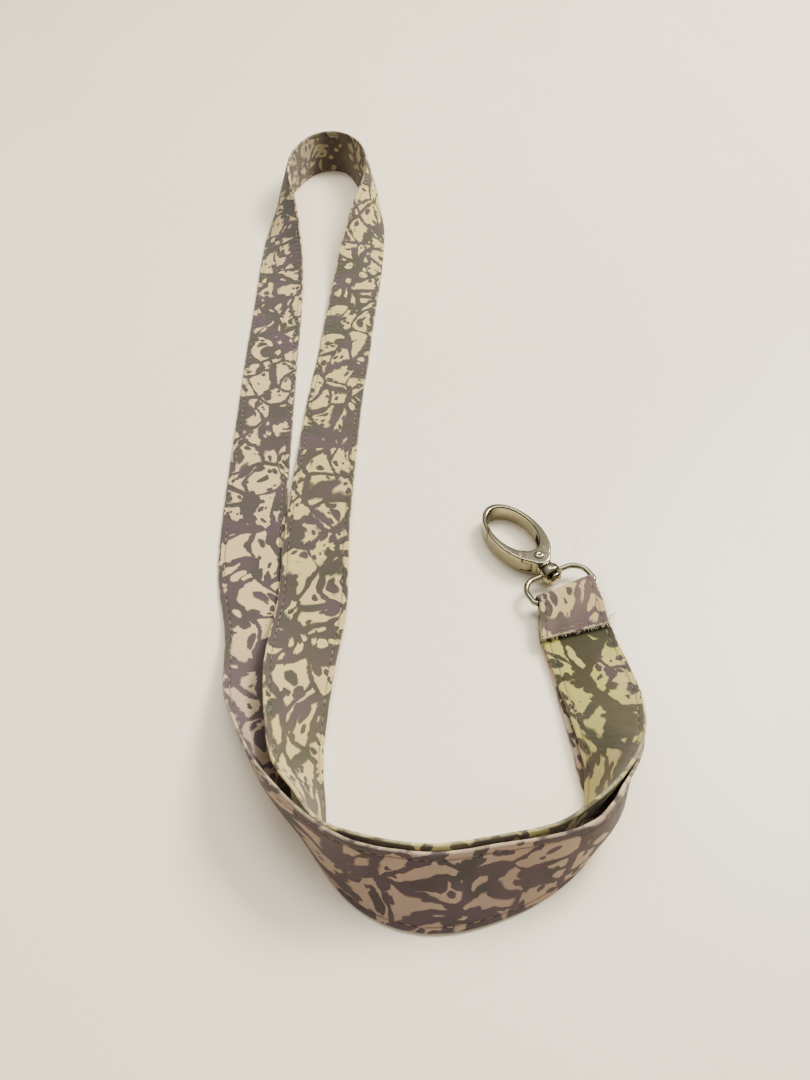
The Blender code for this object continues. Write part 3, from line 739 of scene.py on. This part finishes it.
def gate_zone(half_crack, share):
    """Outline that holds the gate, drawn in by half of the crack, up to a share of the band."""
    tip = GATE_TIP + degrees(half_crack / OVAL_HALF_LENGTH)
    lap = GATE_LAP + degrees(half_crack / OVAL_HALF_LENGTH)
    clear = -14
    outside = [band(-1.5)(tip), (clear, OVAL_CENTRE), (clear, PIVOT)]
    heel = arc(circle(GATE_HEEL + half_crack, (0, PIVOT)), 180, 110)
    inside = [(-1.8, OVAL_CENTRE + 5), band(2)(lap)]
    return arc(band(share), lap, tip, 2) + outside + heel + inside


def oval_plate(name):
    outside = arc(outer_oval, -62, 242) + arc(circle(BASE_RADIUS, (0, PIVOT)), 210, 330, 6)
    inside = arc(eye_oval, 0, 357)
    return plate_mesh(name, [outside, inside], HOOK_HEIGHT, HOOK_BEVEL)


def pin(radius):
    """A bar along the rivet's axis, longer than the hook is high."""
    return plate_mesh("pin", [arc(circle(radius, (0, PIVOT)), 0, 353, 8)], 2 * HOOK_HEIGHT)


def loop_mesh():
    side, depth = LOOP_HALF_WIDTH, LOOP_DEPTH
    low, high = LOOP_BAR_CORNER, LOOP_BOW_CORNER
    end = (COLLAR_RADIUS + COLLAR_BORE) / 2
    right = (
        [(end, depth)]
        + arc(circle(high, (side - high, depth - high)), 90, 0, 5)
        + arc(circle(low, (side - low, low)), 0, -90, 9)
    )
    left = [(-x, y) for x, y in reversed(right)]
    wire = wire_mesh("loop_wire", right + left, WIRE_RADIUS, 8)
    corners = [
        (COLLAR_BORE, COLLAR_END),
        (COLLAR_RADIUS, COLLAR_END),
        (COLLAR_RADIUS, COLLAR_START),
        (COLLAR_BORE, COLLAR_START),
    ]
    collar = turned_mesh("collar", rounded_profile(corners, 1.0), closed=True)
    return boolean(wire, "UNION", collar)


def hook_mesh():
    hook = oval_plate("hook")
    corners = [
        (0, PIVOT - 2),
        (FLANGE_RADIUS - 0.1, PIVOT - 2),
        (FLANGE_RADIUS, PIVOT - 2.8),
        (FLANGE_RADIUS, FLANGE_START),
        (STEM_RADIUS, FLANGE_START),
        (STEM_RADIUS, HEAD_END),
        (HEAD_RADIUS, HEAD_END),
        (HEAD_RADIUS * 0.95, HEAD_START + 0.3),
        (HEAD_RADIUS * 0.5, HEAD_START),
        (0, HEAD_START),
    ]
    hook = boolean(hook, "UNION", turned_mesh("stem", rounded_profile(corners, 0.4)))
    opening = plate_mesh("opening", [gate_zone(-HALF_CRACK, NOSE_SHARE)], 2 * HOOK_HEIGHT)
    hook = boolean(hook, "DIFFERENCE", opening)
    pocket = [(4.0, 17.2), (5.6, 19.6), (6.2, 21.8), (3.5, 22.3)]
    mouth = [(-10, PIVOT + 6), (-10, PIVOT - 0.75)]
    slot = arc(circle(SLOT_RADIUS, (0, PIVOT)), 208, 405, 7) + pocket + mouth
    hook = boolean(hook, "DIFFERENCE", plate_mesh("slot", [slot], SLOT_HEIGHT))
    return boolean(hook, "DIFFERENCE", pin(RIVET_HOLE_RADIUS))


def gate_mesh():
    plate = oval_plate("gate")
    zone = plate_mesh("zone", [gate_zone(HALF_CRACK, GATE_SHARE)], 2 * HOOK_HEIGHT)
    gate = boolean(plate, "INTERSECT", zone)
    flank = arc(outer_oval, 207, 236)
    tongue = arc(circle(TONGUE_RADIUS, (0, PIVOT)), 212, 415, 7) + [(-3.0, 19.2)] + flank
    gate = boolean(gate, "UNION", plate_mesh("tongue", [tongue], TONGUE_HEIGHT))
    room = arc(circle(SPRING_ROOM_RADIUS, (0, PIVOT)), 0, 353, 8)
    gate = boolean(gate, "DIFFERENCE", plate_mesh("room", [room], SPRING_ROOM))
    return boolean(gate, "DIFFERENCE", pin(RIVET_HOLE_RADIUS))


def rivet_mesh():
    """Domed head on each side with the dimple left by peening."""
    face = HOOK_HEIGHT / 2 + RIVET_GAP
    upper = [
        (0, face + 0.34),
        (0.35, face + 0.36),
        (0.6, face + 0.46),
        (1.0, face + 0.42),
        (1.35, face + 0.26),
        (1.5, face + 0.06),
        (1.5, face),
        (RIVET_RADIUS, face),
    ]
    profile = upper + [(r, -h) for r, h in reversed(upper)]
    mesh = turned_mesh("gate_rivet_round", profile, steps=48, upright=True)
    mesh.transform(Matrix.Translation((0, PIVOT * MM, 0)))
    return mesh


def with_edges(mesh):
    """The mesh shaded smooth, except at edges sharper than 35 degrees."""
    mesh.shade_smooth()
    mesh.set_sharp_from_angle(angle=radians(35))
    return mesh


# ---- materials ----


def set_stops(ramp, stops):
    """Give a colour ramp its stops, each of a position and a colour."""
    elements = ramp.color_ramp.elements
    while len(elements) < len(stops):
        elements.new(0.5)
    for element, (at, tone) in zip(elements, stops):
        element.position = at
        element.color = (*tone, 1)


class Nodes:
    """Short ways to add shader nodes to one material."""

    def __init__(self, name):
        self.material = bpy.data.materials.new(name)
        self.material.use_nodes = True
        self.tree = self.material.node_tree

    def finished(self, **inputs):
        """The material, once the shader's inputs are plugged. Their names have _ for a space."""
        shader = self.tree.nodes["Principled BSDF"]
        for name, value in inputs.items():
            self.plug(shader.inputs[name.replace("_", " ")], value)
        return self.material

    def place(self):
        return self.add("ShaderNodeTexCoord").outputs["Object"]

    def add(self, kind, **settings):
        made = self.tree.nodes.new(kind)
        for key, value in settings.items():
            setattr(made, key, value)
        return made

    def plug(self, socket, value):
        if isinstance(value, bpy.types.NodeSocket):
            self.tree.links.new(value, socket)
        else:
            socket.default_value = value

    def math(self, operation, *values):
        made = self.add("ShaderNodeMath", operation=operation)
        for socket, value in zip(made.inputs, values):
            self.plug(socket, value)
        return made.outputs[0]

    def times(self, a, b):
        return self.math("MULTIPLY", a, b)

    def rest(self, value):
        """What is left of 1."""
        return self.math("SUBTRACT", 1.0, value)

    def vector(self, operation, *values):
        made = self.add("ShaderNodeVectorMath", operation=operation)
        for socket, value in zip(made.inputs, values):
            self.plug(socket, value)
        return made.outputs[0]

    def noise(self, place, scale, detail=0.0, roughness=0.5, colour=False):
        made = self.add("ShaderNodeTexNoise")
        self.plug(made.inputs["Vector"], place)
        self.plug(made.inputs["Scale"], scale)
        self.plug(made.inputs["Detail"], detail)
        self.plug(made.inputs["Roughness"], roughness)
        return made.outputs["Color" if colour else "Fac"]

    def cells(self, place, scale, output="Distance", feature="F1"):
        made = self.add("ShaderNodeTexVoronoi", feature=feature)
        self.plug(made.inputs["Vector"], place)
        self.plug(made.inputs["Scale"], scale)
        return made.outputs[output]

    def step(self, value, edge, soft):
        """0 below the edge, 1 above it, with a short soft change."""
        made = self.add("ShaderNodeMapRange", interpolation_type="SMOOTHSTEP")
        self.plug(made.inputs["Value"], value)
        self.plug(made.inputs["From Min"], edge - soft)
        self.plug(made.inputs["From Max"], edge + soft)
        return made.outputs["Result"]

    def mix(self, share, a, b):
        made = self.add("ShaderNodeMix", data_type="RGBA")
        self.plug(made.inputs[0], share)
        for socket, value in ((made.inputs[6], a), (made.inputs[7], b)):
            plain = not isinstance(value, bpy.types.NodeSocket)
            self.plug(socket, (*value, 1) if plain else value)
        return made.outputs[2]

    def ramp(self, value, stops):
        made = self.add("ShaderNodeValToRGB")
        set_stops(made, stops)
        self.plug(made.inputs[0], value)
        return made.outputs["Color"]

    def bump(self, height, strength, distance, normal=None):
        made = self.add("ShaderNodeBump")
        self.plug(made.inputs["Height"], height)
        self.plug(made.inputs["Strength"], strength)
        self.plug(made.inputs["Distance"], distance)
        if normal:
            self.plug(made.inputs["Normal"], normal)
        return made.outputs["Normal"]


def colour(red, green, blue):
    """A display colour out of 255 as the linear colour a shader takes."""
    return tuple(
        ((v / 255 + 0.055) / 1.055) ** 2.4 if v > 10 else v / 255 / 12.92
        for v in (red, green, blue)
    )


# Light and dark tones of the print at shares of the strap's length, from the flap's cut edge
# The darker, pinker tones from 0.10 to 0.17, round the bottom bend, are partly the print's own tint
# and partly painted shade.
TONES = (
    (0.0, (184, 162, 112), (104, 86, 78)),
    (0.02, (186, 162, 122), (94, 76, 72)),
    (0.05, (218, 198, 168), (116, 102, 88)),
    (0.10, (168, 142, 122), (90, 74, 76)),
    (0.17, (168, 144, 126), (92, 76, 78)),
    (0.23, (206, 180, 130), (74, 66, 60)),
    (0.46, (206, 182, 124), (70, 64, 56)),
    (0.51, (146, 138, 112), (104, 95, 78)),
    (0.57, (196, 178, 114), (70, 64, 52)),
    (0.82, (198, 180, 114), (74, 66, 56)),
    (0.92, (190, 180, 110), (106, 96, 72)),
    (1.0, (166, 160, 78), (48, 46, 24)),
)
PINK_TONE = colour(198, 160, 132)
VIOLET_TONE = colour(84, 66, 72)
GREEN_TONE = colour(64, 65, 50)
# Pale tone of the folded edges, partly wear and partly a painted highlight; the bare hem uses it
# too
WORN_AND_HIGHLIGHT_TONE = colour(212, 196, 150)
NICKEL = colour(150, 144, 120)
PLATE_NICKEL = colour(158, 151, 124)
SPRING_STEEL = colour(178, 178, 178)


def warped(n, place, scale, amount, shift=0.0):
    """The place moved about by soft noise, so that what is drawn there has curved, uneven lines."""
    spot = n.vector("ADD", place, (shift, shift, 0.0))
    swing = n.vector("SUBTRACT", n.noise(spot, scale, colour=True), (0.5, 0.5, 0.5))
    return n.vector("ADD", place, n.vector("MULTIPLY", swing, (amount, amount, 0.0)))


def laid(n, place, turn, pitch_x, pitch_y):
    """The place turned by an angle and measured in cells of the given pitches."""
    made = n.add("ShaderNodeMapping", vector_type="POINT")
    n.plug(made.inputs["Vector"], place)
    made.inputs["Rotation"].default_value = (0, 0, radians(turn))
    made.inputs["Scale"].default_value = (1 / pitch_x, 1 / pitch_y, 1)
    return made.outputs[0]


def chance(n, place):
    """A number from 0 to 1 that is the same all over one cell."""
    parts = n.add("ShaderNodeSeparateXYZ")
    n.plug(parts.inputs[0], n.cells(place, 1.0, "Color"))
    return parts.outputs[0]


def spots(n, uv, grid, sizes):
    """Rounded spots in a share of the cells, each with its own size."""
    place = laid(n, uv, *grid)
    least, most, share = sizes
    luck = chance(n, place)
    size = n.math("MULTIPLY_ADD", luck, most - least, least)
    size = n.times(size, n.step(luck, 1 - share, 0.001))
    return n.step(n.math("SUBTRACT", size, n.cells(place, 1.0)), 0.0, 0.04)


def print_mask(n, uv, along):
    """Generic two-tone print: 1 in its light tone, 0 in its dark one. Curved dark outlines part the
    cloth into cells. Most cells are light with dark spots, and the rest dark with light blobs."""
    bent = warped(n, warped(n, uv, 0.085, 9.0), 0.75, 0.9, 40.0)
    cell = laid(n, bent, *CELLS)
    rim = n.cells(cell, 1.0, feature="DISTANCE_TO_EDGE")
    vein = n.math("MULTIPLY_ADD", n.noise(uv, 0.17, 1.0), 0.20, -0.018)
    off_outline = n.step(n.math("SUBTRACT", rim, vein), 0.0, 0.022)
    dark = n.math("MAXIMUM", spots(n, bent, *DOTS), spots(n, bent, *LOBES))
    blobs = n.times(spots(n, bent, *BLOBS), n.rest(spots(n, bent, *PIPS)))
    on_flap = n.rest(n.step(along, FLAP_LENGTH, 0.5))
    luck = n.math("MULTIPLY_ADD", on_flap, FLAP_DARKENING, chance(n, cell))
    filled = n.step(luck, DARK_CELLS, 0.0005)
    in_dark = n.times(filled, blobs)
    in_light = n.times(n.rest(filled), n.rest(dark))
    return n.times(n.math("ADD", in_dark, in_light), off_outline)


def patches(n, uv, shift, scale, edge, soft):
    """Soft patches of the print where another tone shows, 1 inside them and 0 outside."""
    return n.step(n.noise(n.vector("ADD", uv, shift), scale, 1.0), edge, soft)


def cloth_material(length):
    n = Nodes("printed_cotton")
    uv = n.add("ShaderNodeUVMap", uv_map="cloth").outputs[0]
    parts = n.add("ShaderNodeSeparateXYZ")
    n.plug(parts.inputs[0], uv)
    round_way, along = parts.outputs[0], parts.outputs[1]
    inset = n.add("ShaderNodeAttribute", attribute_name="inset").outputs["Fac"]
    light = print_mask(n, uv, along)

    # The tone drifts along the strap, partly the dye's own drift and partly painted shade round the
    # bottom bend, with patches that lean to pink, violet or green.
    run = n.math("DIVIDE", along, length)
    sway = n.times(n.math("SUBTRACT", n.noise(uv, 0.02), 0.5), 0.04)
    drift = n.math("ADD", run, sway)
    light_tone = n.ramp(drift, [(at, colour(*tone)) for at, tone, _ in TONES])
    dark_tone = n.ramp(drift, [(at, colour(*tone)) for at, _, tone in TONES])
    pink = patches(n, uv, (9.0, 5.0, 0.0), 0.07, 0.55, 0.12)
    light_tone = n.mix(n.times(pink, 0.35), light_tone, PINK_TONE)
    violet = patches(n, uv, (31.0, 77.0, 0.0), 0.06, 0.52, 0.1)
    dark_tone = n.mix(n.times(violet, 0.6), dark_tone, VIOLET_TONE)
    green = patches(n, uv, (83.0, 12.0, 0.0), 0.07, 0.56, 0.08)
    dark_tone = n.mix(n.times(green, 0.6), dark_tone, GREEN_TONE)
    print_tone = n.mix(light, dark_tone, light_tone)

    # Ink is a little uneven. The folded edges are paler, partly from wear and partly as a painted
    # highlight; the cloth is bare in places along the flap's hem, and painted shade darkens the
    # furrow of the stitches.
    weft = n.math("SINE", n.times(along, 2 * pi / YARN_PITCH))
    warp_yarn = n.math("SINE", n.times(round_way, 2 * pi / YARN_PITCH))
    weave = n.times(weft, warp_yarn)
    mottle = n.math("ADD", 0.86, n.times(n.noise(uv, 1.6, 4.0, 0.65), 0.28))
    mottle = n.math("MULTIPLY_ADD", weave, 0.05, mottle)
    # Paler band along the folded edges: partly wear, partly a painted highlight
    rubbed_and_highlit_edge = n.rest(n.step(inset, 0.26, 0.24))
    rub_and_highlight_patches = n.times(n.step(n.noise(uv, 0.30, 2.0), 0.48, 0.12), 0.42)
    worn_and_highlit = n.times(rubbed_and_highlit_edge, rub_and_highlight_patches)
    tone = n.mix(worn_and_highlit, print_tone, WORN_AND_HIGHLIGHT_TONE)
    hem = n.math("SUBTRACT", n.math("MULTIPLY_ADD", n.noise(uv, 0.9, 2.0), 1.2, -0.1), along)
    bare = n.times(n.step(hem, 0.0, 0.15), n.step(n.noise(uv, 0.22, 1.0), 0.44, 0.1))
    tone = n.mix(n.times(bare, 0.7), tone, WORN_AND_HIGHLIGHT_TONE)
    # Painted shade in the furrow of the stitches
    furrow = n.math("ABSOLUTE", n.math("SUBTRACT", inset, STITCH_INSET))
    shade = n.rest(n.times(n.rest(n.step(furrow, 0.20, 0.18)), 0.42))
    tone = n.vector("MULTIPLY", tone, vector_of(n, n.times(mottle, shade)))

    # Plain weave, its slubs, and soft creases
    slub = n.noise(n.vector("MULTIPLY", uv, (3.0, 0.6, 1.0)), 1.0, 2.0)
    height = n.math("ADD", n.times(weave, 0.35), slub)
    fine = n.bump(height, 0.5, 0.00012)
    crease = n.noise(n.vector("MULTIPLY", uv, (0.25, 0.5, 1.0)), 0.5, 3.0)
    return n.finished(
        Base_Color=tone,
        Normal=n.bump(crease, 0.6, 0.0006, fine),
        Roughness=n.math("ADD", 0.84, n.times(slub, 0.12)),
        Specular_IOR_Level=0.25,
        Sheen_Weight=0.12,
        Sheen_Roughness=0.5,
    )


def vector_of(n, value):
    """The value in all three parts of a vector."""
    made = n.add("ShaderNodeCombineXYZ")
    for socket in made.inputs:
        n.plug(socket, value)
    return made.outputs[0]


def thread_material():
    """Cream thread with its twist, soiled along most of its length."""
    n = Nodes("cream_thread")
    place = n.place()
    tint = n.noise(place, 180.0, 2.0)
    soiled, dull, clean = colour(80, 69, 58), colour(118, 102, 82), colour(184, 166, 128)
    tone = n.ramp(tint, ((0.3, soiled), (0.5, dull), (0.75, clean)))
    twist = n.add("ShaderNodeTexWave", bands_direction="DIAGONAL")
    n.plug(twist.inputs["Vector"], place)
    n.plug(twist.inputs["Scale"], 1500.0)
    normal = n.bump(twist.outputs["Fac"], 0.4, 0.00005)
    return n.finished(Base_Color=tone, Normal=normal, Roughness=0.85, Sheen_Weight=0.3)


def frayed_material():
    """Undyed broken yarn, its tone wandering from dull cream to nearly white."""
    n = Nodes("frayed_yarn")
    place = n.place()
    tint = n.noise(place, 260.0, 2.0)
    tone = n.ramp(tint, ((0.35, colour(172, 158, 132)), (0.6, colour(250, 244, 226))))
    normal = n.bump(n.noise(place, 2400.0, 1.0), 0.4, 0.00005)
    return n.finished(Base_Color=tone, Normal=normal, Roughness=0.9, Sheen_Weight=0.3)


def metal_material(name, base, rough, scale=1.0, painted_rim_shade=0.0):
    """Plated metal: fine scratches, smudges and faint wear in its colour and roughness, and a
    share of painted dark reflection along the rounded rims of a flat plate."""
    n = Nodes(name)
    place = n.place()
    smudge = n.noise(place, 240.0 * scale, 3.0)
    scratch = n.noise(n.vector("MULTIPLY", place, (900.0, 120.0, 500.0)), 4.0 * scale, 2.0)
    grime = n.step(n.noise(place, 500.0 * scale, 4.0), 0.62, 0.1)
    tone = n.mix(n.times(grime, 0.35), base, tuple(c * 0.45 for c in base))
    # Painted dark reflection lines on the rims, picked out by how far the normal leans from the
    # plate's face
    if painted_rim_shade:
        parts = n.add("ShaderNodeSeparateXYZ")
        n.plug(parts.inputs[0], n.add("ShaderNodeTexCoord").outputs["Normal"])
        lean = n.math("ABSOLUTE", parts.outputs[2])
        off_wall, off_face = n.step(lean, 0.40, 0.14), n.rest(n.step(lean, 0.86, 0.09))
        rim = n.times(off_wall, off_face)
        tone = n.mix(n.times(rim, painted_rim_shade), tone, tuple(c * 0.12 for c in base))
    dulled = n.math("ADD", n.times(smudge, 0.12), n.times(grime, 0.12))
    rough = n.math("ADD", rough, dulled)
    normal = n.bump(n.math("ADD", smudge, n.times(scratch, 0.4)), 0.12, 0.00006)
    return n.finished(Base_Color=tone, Metallic=1.0, Roughness=rough, Normal=normal)


def table_material():
    """Pale laminate with a soft gloss, faint hairline scratches and slight clouding."""
    n = Nodes("pale_table")
    place = n.place()
    cloud = n.noise(place, 5.0, 3.0)
    tone = n.mix(cloud, colour(250, 236, 208), colour(255, 243, 217))
    swing = n.vector("MULTIPLY", n.noise(place, 9.0, 1.0, colour=True), (0.05, 0.05, 0.0))
    crack = n.cells(n.vector("ADD", place, swing), 7.0, feature="DISTANCE_TO_EDGE")
    hair = n.rest(n.step(crack, 0.0016, 0.0014))
    seen = n.times(hair, n.step(n.noise(place, 6.0, 2.0), 0.52, 0.08))
    tone = n.mix(n.times(seen, 0.16), tone, colour(180, 168, 150))
    smear = n.noise(n.vector("MULTIPLY", place, (3.0, 1.0, 1.0)), 8.0, 3.0)
    rough = n.math("ADD", 0.30, n.times(smear, 0.18))
    return n.finished(Base_Color=tone, Roughness=rough, Specular_IOR_Level=0.45)


# ---- stage ----


def make_stage():
    mesh = bpy.data.meshes.new("table")
    side = TABLE_HALF_SIDE
    corners = [(-side, -side, 0), (side, -side, 0), (side, side, 0), (-side, side, 0)]
    mesh.from_pydata(corners, [], [(0, 1, 2, 3)])
    table = added("table", mesh)
    table.location.z = -TABLE_DROP * MM
    mesh.materials.append(table_material())


def area_light(name, place, size, watts, tone):
    """A rectangular light that points at the model's origin."""
    data = bpy.data.lights.new(name, "AREA")
    data.shape = "RECTANGLE"
    data.size, data.size_y = size
    data.energy = watts
    data.color = tone
    made = added(name, data)
    made.location = place
    made.rotation_euler = (-Vector(place)).to_track_quat("-Z", "Y").to_euler()


def make_room():
    """A bright ceiling over darker walls, for soft light from above and contrast in the metal."""
    world = bpy.data.worlds.new("room")
    world.use_nodes = True
    tree = world.node_tree
    place = tree.nodes.new("ShaderNodeTexCoord")
    parts = tree.nodes.new("ShaderNodeSeparateXYZ")
    ramp = tree.nodes.new("ShaderNodeValToRGB")
    tree.links.new(place.outputs["Generated"], parts.inputs[0])
    tree.links.new(parts.outputs[2], ramp.inputs[0])
    tree.links.new(ramp.outputs[0], tree.nodes["Background"].inputs["Color"])
    tinted = [(height, [light * share for share in ROOM_TINT]) for height, light in WALLS]
    set_stops(ramp, tinted)
    tree.nodes["Background"].inputs["Strength"].default_value = ROOM_STRENGTH
    bpy.context.scene.world = world


def make_lights():
    area_light("window", *WINDOW)
    area_light("ceiling", *CEILING)
    make_room()


def make_camera():
    data = bpy.data.cameras.new("camera")
    data.sensor_fit = "VERTICAL"
    data.angle = 2 * atan(0.5 / FOCAL_LENGTH)
    data.clip_start = CLIP_START
    made = added("camera", data)
    made.location = Vector(np.array(CAMERA_PLACE) - FOOTPRINT_CENTRE) * MM
    made.rotation_euler = (radians(90 - CAMERA_TILT), 0, 0)
    bpy.context.scene.camera = made


# ---- assembly ----


def placed(origin, turn):
    """The frame of a metal piece, from its origin in the strap's layout and its turn from +Y."""
    shift = Matrix.Translation(Vector(np.array(origin) - FOOTPRINT_CENTRE) * MM)
    return shift @ Euler((radians(-AXIS_DROP), 0, radians(turn))).to_matrix().to_4x4()


def main():
    ribbon = Ribbon(strap_rows())
    cotton = cloth_material(ribbon.length)
    thread = thread_material()
    nickel = metal_material("warm_nickel", NICKEL, 0.08)
    rimmed = metal_material("warm_nickel_plate", PLATE_NICKEL, 0.08, painted_rim_shade=0.8)
    steel = metal_material("spring_steel", SPRING_STEEL, 0.25, scale=2.0)

    cloth = piece("strap_cloth", strap_mesh(ribbon), cotton)
    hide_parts("strap")
    for face_name, face in (("face", 1), ("back", -1)):
        for edge_name, edge in (("left", -1), ("right", 1)):
            name = f"{face_name}_stitches_{edge_name}"
            line = piece(name, stitch_line(ribbon, name, edge, face), thread)
            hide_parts(f"{face_name}_stitch_{edge_name}_edge")
    bar = at_bar(ribbon)
    seams = {
        "seam_stitches_top": ("end_seam_needle_thread", SEAM_SETBACK),
        "seam_stitches_under": ("end_seam_bobbin_thread", 2 * bar - SEAM_SETBACK),
    }
    for name, (node, where) in seams.items():
        seam = piece(name, seam_line(ribbon, name, where, -1), thread)
        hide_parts(node)
    frayed = fibres_mesh("flap_frayed_threads", ribbon, FRAY_SEED)
    piece("flap_frayed_threads", frayed, frayed_material())

    loop_place = placed(BAR, LOOP_TURN)
    hook_place = placed(HOOK_FOOT, HOOK_TURN)
    metal = (
        ("loop_polished", loop_mesh(), nickel, "swivel_loop", "loop", loop_place),
        ("hook_polished", hook_mesh(), rimmed, "hook_body", "hook", hook_place),
        ("gate_polished", gate_mesh(), rimmed, "hook_gate", "gate", hook_place),
        ("rivet_polished", rivet_mesh(), nickel, "gate_rivet", "hook", hook_place),
    )
    for name, mesh, finish, node, body, place in metal:
        made = piece(name, with_edges(mesh), finish, body, place)
        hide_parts(node)
    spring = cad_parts["gate_spring"]
    spring.data.materials.clear()
    spring.data.materials.append(steel)
    spring.data.shade_smooth()
    make_stage()
    make_lights()
    make_camera()


main()
